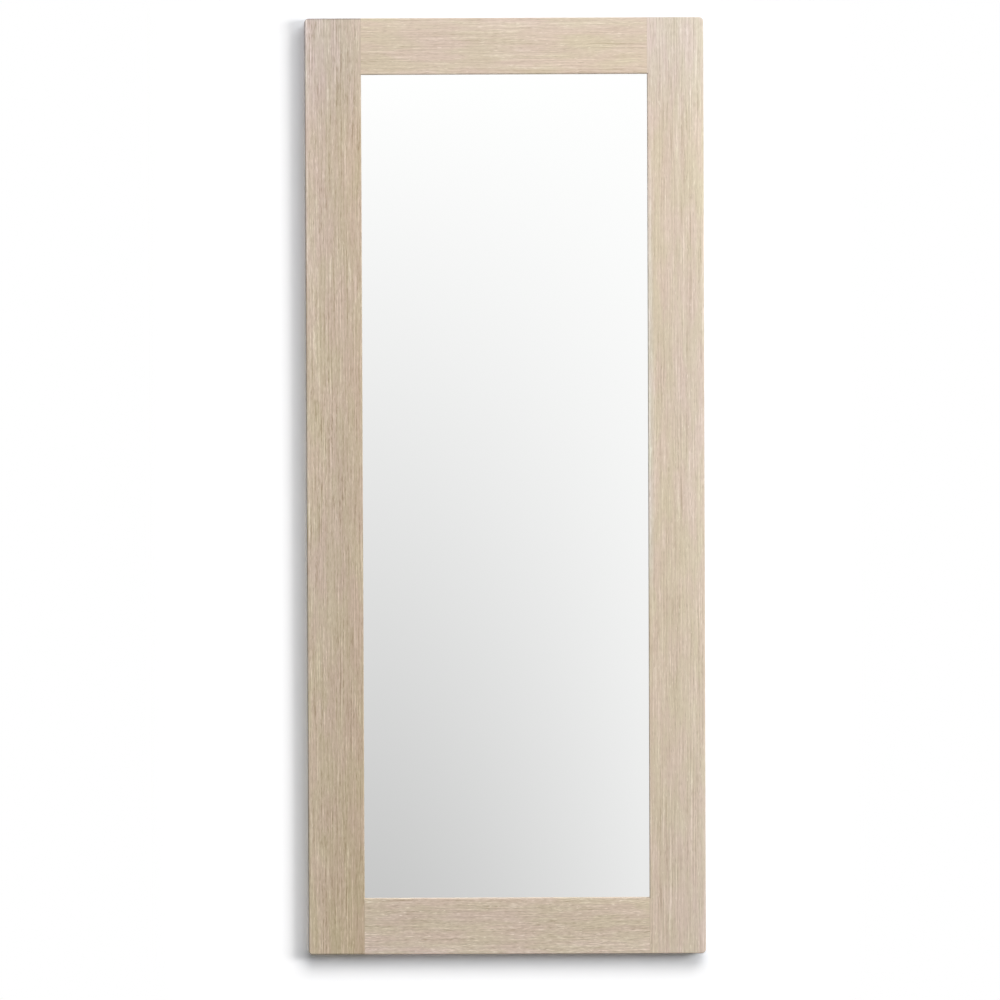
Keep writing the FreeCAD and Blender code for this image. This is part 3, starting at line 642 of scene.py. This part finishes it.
def closedSurface(x, y, z):
    # A grid of rings, from the top ring to the bottom one, with a point at each end's middle.
    rows, columns = x.shape
    rings = np.stack([x, y, z], -1)
    ends = np.stack([rings[0].mean(0), rings[-1].mean(0)])
    points = np.concatenate([rings.reshape(-1, 3), ends])
    faces = quadGrid(rows, columns)
    first, last = rows * columns, rows * columns + 1
    base = (rows - 1) * columns
    for j in range(columns):
        after = (j + 1) % columns
        faces.append([first, j, after])
        faces.append([last, base + after, base + j])
    return faceOutward(points, faces)


def closedRing(x, y, z):
    # A grid whose rows and columns both run round and meet again.
    points = np.stack([x, y, z], -1).reshape(-1, 3)
    return faceOutward(points, quadGrid(*x.shape, closedAlong=True))


def pointAlong(points, direction):
    # Turns a shape made about Z so that its axis points along the direction.
    ahead = np.array(direction, float)
    side = np.cross(ahead, np.roll(ahead, 1))
    return points @ np.array([side, np.cross(ahead, side), ahead])


def joinShapes(*shapes):
    # Several shapes as one: each one's corners are counted on from those before it.
    points, faces, start = [], [], 0
    for shapePoints, shapeFaces in shapes:
        points.append(shapePoints)
        faces += [[corner + start for corner in face] for face in shapeFaces]
        start += len(shapePoints)
    return np.concatenate(points), faces


def repeatAt(shape, places):
    # The shape once at each place.
    points, faces = shape
    return joinShapes(*((points + np.array(place), faces) for place in places))


def circle(count):
    return np.linspace(0, 2 * math.pi, count, endpoint=False)


def turned(profile, columns):
    # A turned form: each point of the profile, radius and height, carried round Z.
    radius, height = profile[:, :1], profile[:, 1:]
    angle = circle(columns)
    return radius * np.cos(angle), radius * np.sin(angle), height * np.ones_like(angle)


def roundedPath(corners, radii, steps):
    # A closed path of straight runs joined by tangent arcs. An arc of the given radius starts at
    # radius * tan(turn / 2) before its corner; its points turn evenly about its centre.
    corners = np.array(corners, float)
    points, headings = [], []
    count = len(corners)
    for i, (corner, radius) in enumerate(zip(corners, radii)):
        ahead, behind = corners[(i + 1) % count] - corner, corner - corners[i - 1]
        start = math.atan2(behind[1], behind[0])
        turn = math.remainder(math.atan2(ahead[1], ahead[0]) - start, 2 * math.pi)
        heading = start + turn * np.linspace(0, 1, steps)
        first = corner - behind / np.linalg.norm(behind) * radius * math.tan(abs(turn) / 2)
        side = math.copysign(radius, turn)
        centre = first + side * np.array([-math.sin(start), math.cos(start)])
        points.append(centre + side * np.stack([np.sin(heading), -np.cos(heading)], -1))
        headings.append(heading)
    return np.concatenate(points), np.concatenate(headings)


# Screws

screwKinds = {
    "board": {"head": 3.5 * mm, "top": 1.8 * mm, "shank": 1.5 * mm, "length": 20 * mm, "pan": True,
              "recess": 1.9 * mm},
    "strap": {"head": 3.2 * mm, "top": 0.15 * mm, "shank": 1.75 * mm, "length": 25 * mm, "pan": False,
              "recess": 1.9 * mm},
    "bumper": {"head": 4.0 * mm, "top": 2.4 * mm, "shank": 1.75 * mm, "length": 22 * mm, "pan": True,
               "recess": 2.2 * mm},
}
screwMake = {
    "headColumns": 56,
    "domeRows": 22,
    "domeStart": 0.04,
    "domePower": 0.5,
    "shankColumns": 18,
    "rowsPerTurn": 6,
    "pitch": 1.35 * mm,
    "threadDepth": 0.42 * mm,
    "crestPower": 8,
    "tip": 4 * mm,
    "tipEnd": 0.04,
    "slotWidth": 0.95 * mm,
    "slotDepth": 1.15 * mm,
    "slotEdge": 0.12 * mm,
}


def crossRecess(x, y, reach):
    # Depth of a cross of two slots: full depth within a slot, nothing outside, soft at its walls,
    # and shallower towards the ends of the arms.
    def slot(across, along):
        wall = np.clip((screwMake["slotWidth"] / 2 - np.abs(across)) / screwMake["slotEdge"], 0, 1)
        slope = np.clip((reach - np.abs(along)) / (reach / 2), 0, 1)
        return wall * slope
    return screwMake["slotDepth"] * np.maximum(slot(x, y), slot(y, x))


def makeScrewShape(kind):
    # About Z, the head's underside (or a countersunk head's rim) at zero, the shank downwards.
    # Head: radius R sin(t) and height H cos(t)^power, less the cross. Shank: a core radius and a
    # helical ridge, whose crest is the sharpened cosine of the turn angle minus the travel.
    screw = screwKinds[kind]
    angle = circle(screwMake["headColumns"])
    sweep = np.linspace(screwMake["domeStart"], math.pi / 2, screwMake["domeRows"])[:, None]
    radius = screw["head"] * np.sin(sweep) * np.ones_like(angle)
    height = screw["top"] * np.cos(sweep) ** screwMake["domePower"] * np.ones_like(angle)
    height = height - crossRecess(radius * np.cos(angle), radius * np.sin(angle), screw["recess"])
    foot = 0.0 if screw["pan"] else screw["shank"] - screw["head"]
    radius = np.vstack([radius, np.full_like(radius[:1], screw["shank"])])
    height = np.vstack([height, np.full_like(height[:1], foot)])
    head = closedSurface(radius * np.cos(angle), radius * np.sin(angle), height)

    angle = circle(screwMake["shankColumns"])
    long = screw["length"] + foot
    rows = int(long / screwMake["pitch"] * screwMake["rowsPerTurn"])
    travel = np.linspace(0, long, rows)[:, None]
    turns = travel / screwMake["pitch"] * 2 * math.pi
    ridge = np.cos((angle - turns) / 2) ** screwMake["crestPower"]
    taper = np.clip((long - travel) / screwMake["tip"], screwMake["tipEnd"], 1)
    radius = (screw["shank"] - screwMake["threadDepth"] * (1 - ridge)) * taper
    down = foot - travel * np.ones_like(angle)
    shank = closedSurface(radius * np.cos(angle), radius * np.sin(angle), down)
    return joinShapes(head, shank)


def cadIslands(node):
    # The lowest and highest corners of each separate solid in a node. Corners within a hundredth of
    # a millimetre are the same, and each edge joins what its two ends belong to.
    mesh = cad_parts[node].data
    points = np.array([vertex.co for vertex in mesh.vertices])
    keys = np.round(points / (0.01 * mm)).astype(int)
    ids = np.unique(keys, axis=0, return_inverse=True)[1].ravel()
    owner = np.arange(ids.max() + 1)

    def root(i):
        while owner[i] != i:
            i = owner[i]
        return i

    for edge in mesh.edges:
        first, second = (root(ids[corner]) for corner in edge.vertices)
        owner[first] = second
    groups = np.array([root(i) for i in ids])
    solids = [points[groups == group] for group in np.unique(groups)]
    return sorted(((solid.min(0), solid.max(0)) for solid in solids), key=lambda ends: tuple(ends[0]))


def standFor(piece, node, body):
    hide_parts(node)
    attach(piece, body)


def makeScrews(node, kind, material):
    # One screw at each of the node's solids, its head at the solid's back end.
    screw = screwKinds[kind]
    points, faces = makeScrewShape(kind)
    places = []
    for low, high in cadIslands(node):
        seat = high[1] - (screw["top"] if screw["pan"] else 0)
        places.append([(low[0] + high[0]) / 2, seat, (low[2] + high[2]) / 2])
    points, faces = repeatAt((pointAlong(points, (0, 1, 0)), faces), places)
    standFor(meshPiece("threaded_" + node, points, faces, material), node, "frame")


# D-rings and their straps

hanger = {
    "wire": 2 * mm,
    "halfWidth": 15 * mm,
    "drop": 24 * mm,
    "topBend": 4 * mm,
    "bottomBend": 14.9 * mm,
    "bendSteps": 14,
    "wireColumns": 28,
    "weld": 0.001 * mm,
    "flatAngle": math.radians(0.5),
    "strapEase": 0.3 * mm,
    "strapEaseSteps": 3,
}


def makeRing(node, material):
    # A round wire carried along the D: a straight bar, two tight bends and a half circle below.
    wide, drop, wire = hanger["halfWidth"], hanger["drop"], hanger["wire"]
    bends = [hanger["topBend"], hanger["bottomBend"], hanger["bottomBend"], hanger["topBend"]]
    line, heading = roundedPath([(wide, 0), (wide, -drop), (-wide, -drop), (-wide, 0)], bends,
                                hanger["bendSteps"])
    low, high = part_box(node)
    turn = circle(hanger["wireColumns"])
    outward = wire * np.cos(turn)
    x = (low[0] + high[0]) / 2 + line[:, :1] - outward * np.sin(heading)[:, None]
    y = (low[1] + high[1]) / 2 + wire * np.sin(turn) * np.ones_like(x)
    z = high[2] - wire + line[:, 1:] + outward * np.cos(heading)[:, None]
    points, faces = closedRing(x, y, z)
    standFor(meshPiece("wire_" + node, points, faces, material), node, node)


def makeStrap(node, material):
    # The strap's own shape with its sheared edges eased.
    mesh = bpy.data.meshes.new("eased_" + node)
    shape = bmesh.new()
    shape.from_mesh(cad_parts[node].data)
    bmesh.ops.remove_doubles(shape, verts=shape.verts, dist=hanger["weld"])
    bmesh.ops.dissolve_limit(shape, angle_limit=hanger["flatAngle"], verts=shape.verts, edges=shape.edges)
    shape.to_mesh(mesh)
    shape.free()
    piece = addPiece(mesh, material)
    bevel = piece.modifiers.new("ease", "BEVEL")
    bevel.width = hanger["strapEase"]
    bevel.segments = hanger["strapEaseSteps"]
    bevel.limit_method = "ANGLE"
    bevel.angle_limit = creaseAngle
    weights = piece.modifiers.new("flat", "WEIGHTED_NORMAL")
    weights.keep_sharp = True
    standFor(piece, node, "frame")


# Rubber bumpers

bumper = {
    "bore": 1.9 * mm,
    "seat": 3.5 * mm,
    "recess": 5 * mm,
    "base": 11 * mm,
    "top": 9 * mm,
    "rounds": (0.1 * mm, 0.4 * mm, 1.6 * mm, 0.7 * mm, 0.3 * mm, 0.1 * mm),
    "roundSteps": 7,
    "columns": 72,
}


def makeBumper(node, material):
    # The profile runs out along the foot, up the sloping side, over the rounded rim, down the
    # screw's recess to its seat and back down the bore; it is turned about the screw's line.
    low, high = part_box(node)
    tall = high[1] - low[1]
    corners = [(bumper["bore"], 0), (bumper["base"], 0), (bumper["top"], tall), (bumper["recess"], tall),
               (bumper["recess"], bumper["seat"]), (bumper["bore"], bumper["seat"])]
    profile = roundedPath(corners, bumper["rounds"], bumper["roundSteps"])[0]
    points, faces = closedRing(*turned(profile, bumper["columns"]))
    place = [(low[0] + high[0]) / 2, low[1], (low[2] + high[2]) / 2]
    points = pointAlong(points, (0, 1, 0)) + place
    standFor(meshPiece("moulded_" + node, points, faces, material), node, "frame")


# Dowels, panel pins and the strips and blocks round the pane

dowel = {
    "radius": 5 * mm,
    "chamfer": 1 * mm,
    "flutes": 18,
    "columns": 108,
    "fluteDepth": 0.45 * mm,
}
pin = {
    "shank": 0.8 * mm,
    "head": 1.05 * mm,
    "headLength": 0.7 * mm,
    "neck": 0.5 * mm,
    "point": 2.6 * mm,
    "tip": 0.04 * mm,
    "columns": 16,
}
softStrips = {
    "foam_strips": {"round": 1.1 * mm, "slot": "foam"},
    "setting_blocks": {"round": 0.5 * mm, "slot": "block_rubber"},
}
stripMake = {
    "rows": 14,
    "columns": 24,
    "poleAngle": 0.02,
    "mostRound": 0.95,
}
tape = {
    "width": 8 * mm,
    "round": 0.3 * mm,
    "roundSteps": 6,
}


def makeDowels(node, material):
    # A fluted pin: radius R less a flute's depth times the cosine of the flutes' angle, squared.
    shapes = []
    for low, high in cadIslands(node):
        half = (high[0] - low[0]) / 2
        angle = circle(dowel["columns"])
        flute = np.clip(np.cos(angle * dowel["flutes"]), 0, 1) ** 2 * dowel["fluteDepth"]
        radius = np.array([dowel["radius"] - dowel["chamfer"], dowel["radius"]])[[0, 1, 1, 0], None]
        radius = radius - flute * np.array([0, 1, 1, 0])[:, None]
        along = np.array([half, half - dowel["chamfer"], dowel["chamfer"] - half, -half])[:, None]
        middle = (low + high) / 2
        shapes.append(closedSurface(middle[0] + along * np.ones_like(angle),
                                    middle[1] + radius * np.cos(angle),
                                    middle[2] + radius * np.sin(angle)))
    standFor(meshPiece("fluted_" + node, *joinShapes(*shapes), material), node, "frame")


def makePins(node, material):
    # Head, a short taper under it, the shank and a sharpened end, turned; heads towards the pane.
    shapes = []
    for low, high in cadIslands(node):
        middle = (low + high) / 2
        axis = int(np.argmax(high - low))
        length = (high - low)[axis]
        outward = math.copysign(1, middle[axis])
        heights = [0, pin["headLength"], pin["headLength"] + pin["neck"], length - pin["point"], length]
        radii = [pin["head"], pin["head"], pin["shank"], pin["shank"], pin["tip"]]
        points, faces = closedSurface(*turned(np.array([radii, heights]).T, pin["columns"]))
        head = middle.copy()
        head[axis] = low[axis] if outward > 0 else high[axis]
        shapes.append((pointAlong(points, np.eye(3)[axis] * outward) + head, faces))
    standFor(meshPiece("headed_" + node, *joinShapes(*shapes), material), node, "frame")


def makeSoftStrips(node, material):
    # Each is a ball pulled apart into a bar: an eighth of the ball stays at each of its corners.
    strip = softStrips[node]
    pole, columns = stripMake["poleAngle"], stripMake["columns"]
    shapes = []
    for low, high in cadIslands(node):
        half = (high - low) / 2
        ball = min(strip["round"], *(half * stripMake["mostRound"]))
        axis = int(np.argmax(half))
        fromPole = np.linspace(pole, math.pi - pole, stripMake["rows"])[:, None]
        around = circle(columns) + math.pi / columns
        sides = [np.sin(fromPole) * np.cos(around), np.sin(fromPole) * np.sin(around),
                 np.cos(fromPole) * np.ones_like(around)]
        sides = sides[2 - axis:] + sides[:2 - axis]
        grid = [middle + np.sign(side) * (reach - ball) + side * ball
                for middle, reach, side in zip((low + high) / 2, half, sides)]
        shapes.append(closedSurface(*grid))
    standFor(meshPiece("rounded_" + node, *joinShapes(*shapes), material), node, "frame")


def makeTape(material):
    # The tape's section carried round the pane's edge, mitred at the four corners.
    low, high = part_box("glazing_tape")
    thick = high[1] - low[1]
    corners = [(0, 0), (tape["width"], 0), (tape["width"], thick), (0, thick)]
    inward, deep = roundedPath(corners, [tape["round"]] * 4, tape["roundSteps"])[0].T
    signs = np.array([(1, 1), (-1, 1), (-1, -1), (1, -1)])
    x = signs[:, :1] * (high[0] - inward)
    z = signs[:, 1:] * (high[2] - inward)
    points, faces = closedRing(x, low[1] + deep * np.ones_like(x), z)
    standFor(meshPiece("rounded_glazing_tape", points, faces, material), "glazing_tape", "frame")


# Scene stage, lights and camera

stage = {
    "floorLevel": -1.3,
    "reach": 9.0,
    "wallTop": 6.0,
    "litTone": 0.1,
    "blueShare": 1.009,
    "tintReach": (0.045, 0.0),
    "wall": {"halves": (0.425, 1.0), "shadowReach": (0.16, 0.34), "middle": 1.103,
             "sideways": -0.14, "upward": -0.135, "tint": (0.975, 1.0, 1.03, 1.0)},
    "floor": {"halves": (0.5, 0.6), "shadowReach": (0.5, 1.6), "middle": 1.05,
              "sideways": 0.0, "upward": 0.0, "tint": white},
}


def planePiece(name, corners, material):
    piece = meshPiece(name, np.array(corners, float), [[0, 1, 2, 3]], material, smooth=False)


def mixShaders(tree, share, first, second):
    return addNode(tree, "MixShader", {0: share, 1: first.outputs[0], 2: second.outputs[0]})


def makeSeenStage(tree, sides, surface):
    # What the camera sees: paint that holds the shadow near the part and plain white beyond. The
    # paint's tone rises a little where the lamps' light falls off, and its tint next to the part
    # evens out the warm light that the oak throws there.
    outside = []
    for side, half in zip(sides, surface["halves"]):
        past = minus(tree, calculate(tree, "ABSOLUTE", side), half)
        outside.append(calculate(tree, "MAXIMUM", past, 0.0))
    squares = times(tree, outside[1], outside[1])
    away = calculate(tree, "SQRT", multiplyAdd(tree, outside[0], outside[0], squares))
    level = multiplyAdd(tree, sides[0], surface["sideways"], surface["middle"])
    level = multiplyAdd(tree, sides[1], surface["upward"], level)
    paint = combined(tree, level, level, times(tree, level, stage["blueShare"]))
    paint = tinted(tree, paint, surface["tint"], rise(tree, away, *stage["tintReach"]))
    painted = addNode(tree, "BsdfDiffuse", {"Color": paint})
    plain = addNode(tree, "Emission", {"Color": white, "Strength": 1.0})
    return mixShaders(tree, rise(tree, away, *surface["shadowReach"]), painted, plain)


def makeWallPaint():
    # Only camera rays from the front see the wall; from behind it is clear.
    material, tree = newMaterial("wallPaint")
    behind = addNode(tree, "NewGeometry").outputs["Backfacing"]
    camera = addNode(tree, "LightPath").outputs["Is Camera Ray"]
    camera = calculate(tree, "SUBTRACT", camera, behind, clamp=True)
    sides = splitPlace(tree, ownPlace(tree))
    seen = makeSeenStage(tree, (sides[0], sides[2]), stage["wall"])
    shown = mixShaders(tree, camera, addNode(tree, "BsdfTransparent"), seen)
    addNode(tree, "OutputMaterial", {"Surface": shown.outputs[0]})
    return material


def makeFloorPaint():
    # The floor gives some light back, and glossy surfaces see the studio through it.
    material, tree = newMaterial("floorPaint")
    path = addNode(tree, "LightPath").outputs
    sides = splitPlace(tree, ownPlace(tree))
    seen = makeSeenStage(tree, (sides[0], sides[1]), stage["floor"])
    lit = addNode(tree, "BsdfDiffuse", {"Color": (stage["litTone"],) * 3 + (1.0,)})
    gloss = calculate(tree, "MAXIMUM", path["Is Glossy Ray"], path["Is Transmission Ray"])
    unseen = mixShaders(tree, gloss, lit, addNode(tree, "BsdfTransparent"))
    shown = mixShaders(tree, path["Is Camera Ray"], unseen, seen)
    addNode(tree, "OutputMaterial", {"Surface": shown.outputs[0]})
    return material


def makeStage():
    reach, level, top = stage["reach"], stage["floorLevel"], stage["wallTop"]
    planePiece("wall", [(-reach, 0, level), (reach, 0, level), (reach, 0, top), (-reach, 0, top)],
               makeWallPaint())
    planePiece("floor", [(-reach, -reach, level), (reach, -reach, level), (reach, reach, level),
                         (-reach, reach, level)], makeFloorPaint())


studio = {
    "fill": 0.165,
    "roomWhite": 1.05,
    "roomShade": 0.44,
    "shadeTop": 0.0315,
    "shadeDrop": 0.12,
    "shadePower": 1.05,
    "shadeFall": (-0.25, 1.5),
    "shadeLeft": -0.0195,
    "shadeWidth": 0.0405,
    "shadeRelief": 0.56,
    "reliefPower": 1.35,
    "lamps": {
        "overhead": {"place": (2.0, -6.4, 5.3), "aim": (0.8, 0, 0.3), "size": (7.0, 4.4), "power": 530},
        "side": {"place": (6.1, -6.1, 1.3), "aim": (3.0, 0, 0.8), "size": (4.0, 2.4), "power": 392},
        "behind": {"place": (-2.5, 5.5, 3.0), "aim": (0, 0, 0), "size": (4.0, 4.0), "power": 360},
    },
}


def makeWorld():
    # The pane shows the room: white overhead and to the right, greyer low down and to the left, and
    # pale again at its floor. Shade = the lesser of down^p and a falling line, times
    # (1 - relief * right^q), where down and right are the ray's slopes.
    room = studio
    world = bpy.data.worlds.new("studio")
    bpy.context.scene.world = world
    world.use_nodes = True
    tree = world.node_tree
    tree.nodes.clear()
    path = addNode(tree, "LightPath").outputs
    slopes = splitPlace(tree, addNode(tree, "TexCoord").outputs["Generated"])
    down = minus(tree, room["shadeTop"], slopes[2])
    down = calculate(tree, "DIVIDE", down, room["shadeDrop"])
    depth = calculate(tree, "POWER", calculate(tree, "MAXIMUM", down, 0.0), room["shadePower"])
    fall = multiplyAdd(tree, down, *room["shadeFall"])
    depth = calculate(tree, "MAXIMUM", calculate(tree, "MINIMUM", depth, fall), 0.0)
    right = minus(tree, slopes[0], room["shadeLeft"])
    right = calculate(tree, "DIVIDE", right, room["shadeWidth"], clamp=True)
    relief = calculate(tree, "POWER", right, room["reliefPower"])
    relief = times(tree, relief, room["shadeRelief"])
    shade = times(tree, depth, minus(tree, 1.0, relief))
    level = multiplyAdd(tree, shade, -room["roomShade"], room["roomWhite"])
    gloss = calculate(tree, "MAXIMUM", path["Is Glossy Ray"], path["Is Transmission Ray"])
    colour = mixColours(tree, gloss, (room["fill"],) * 3 + (1.0,), combined(tree, level, level, level))
    colour = mixColours(tree, path["Is Camera Ray"], colour, white)
    back = addNode(tree, "Background", {"Color": colour, "Strength": 1.0})
    addNode(tree, "OutputWorld", {"Surface": back.outputs[0]})


def makeLamps():
    for name, lamp in studio["lamps"].items():
        data = bpy.data.lights.new(name, "AREA")
        data.shape = "RECTANGLE"
        data.size, data.size_y = lamp["size"]
        data.energy = lamp["power"]
        light = bpy.data.objects.new(name, data)
        light.location = lamp["place"]
        towards = Vector(lamp["aim"]) - Vector(lamp["place"])
        light.rotation_euler = towards.to_track_quat("-Z", "Y").to_euler()
        light.visible_camera = False
        bpy.context.scene.collection.objects.link(light)


# The photograph is 1000 pixels wide; its middle looks a little left of and below the mirror's, from
# slightly above.
photo = {
    "width": 1000,
    "metresPerPixel": 2.135 * mm,
    "middle": (505.6, 487.0),
    "turn": math.radians(0.225),
    "pitch": math.radians(1.8),
    "lens": 240.0,
    "sensor": 36.0,
}


def makeCamera():
    data = bpy.data.cameras.new("camera")
    data.lens = photo["lens"]
    data.sensor_width = photo["sensor"]
    camera = bpy.data.objects.new("camera", data)
    span = photo["width"] * photo["metresPerPixel"]
    distance = span * photo["lens"] / photo["sensor"]
    right, down = (place - photo["width"] / 2 for place in photo["middle"])
    seen = Vector((-right * photo["metresPerPixel"], cadBounds[0][1], down * photo["metresPerPixel"]))
    facing = Euler((math.pi / 2 - photo["pitch"], 0, 0)).to_quaternion()
    facing = facing @ Quaternion((0, 0, 1), -photo["turn"])
    camera.location = seen - facing @ Vector((0, 0, -distance))
    camera.rotation_euler = facing.to_euler()
    bpy.context.scene.collection.objects.link(camera)
    bpy.context.scene.camera = camera


def main():
    dressWood()
    dress("mirror_pane", makeMirrorGlass())
    dress("back_board", makeHardboard())
    dress("safety_film", makeSafetyFilm())
    print("woods, pane and board dressed")

    zincPlate, zincScrew, zincWire = (makeMetal(kind) for kind in ("zincPlate", "zincScrew", "zincWire"))
    makeScrews("back_board_screws", "board", zincScrew)
    makeScrews("bumper_screws", "bumper", zincScrew)
    for side in ("left", "right"):
        makeScrews("hanger_screws_" + side, "strap", zincScrew)
        makeRing("ring_" + side, zincWire)
        makeStrap("strap_" + side, zincPlate)
    print("screws and hangers made")

    beech = makePlainWood("beech", **dowelGrain)
    rubber = makeSoftFinish("bumperRubber")
    brightSteel = makeMetal("brightSteel")
    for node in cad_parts:
        if node.startswith("dowels"):
            makeDowels(node, beech)
        elif node.endswith("_pins"):
            makePins(node, brightSteel)
        elif node.startswith("bumper") and node != "bumper_screws":
            makeBumper(node, rubber)
    makeTape(makeSoftFinish("glazingTape"))
    makeSoftStrips("foam_strips", makeSoftFinish("closedCellFoam"))
    makeSoftStrips("setting_blocks", makeSoftFinish("blockRubber"))
    print("dowels, pins, bumpers, tape, foam and blocks made")

    makeStage()
    makeWorld()
    makeLamps()
    makeCamera()
    bpy.context.scene.view_settings.view_transform = "Standard"
    print("stage, lights and camera set")


main()
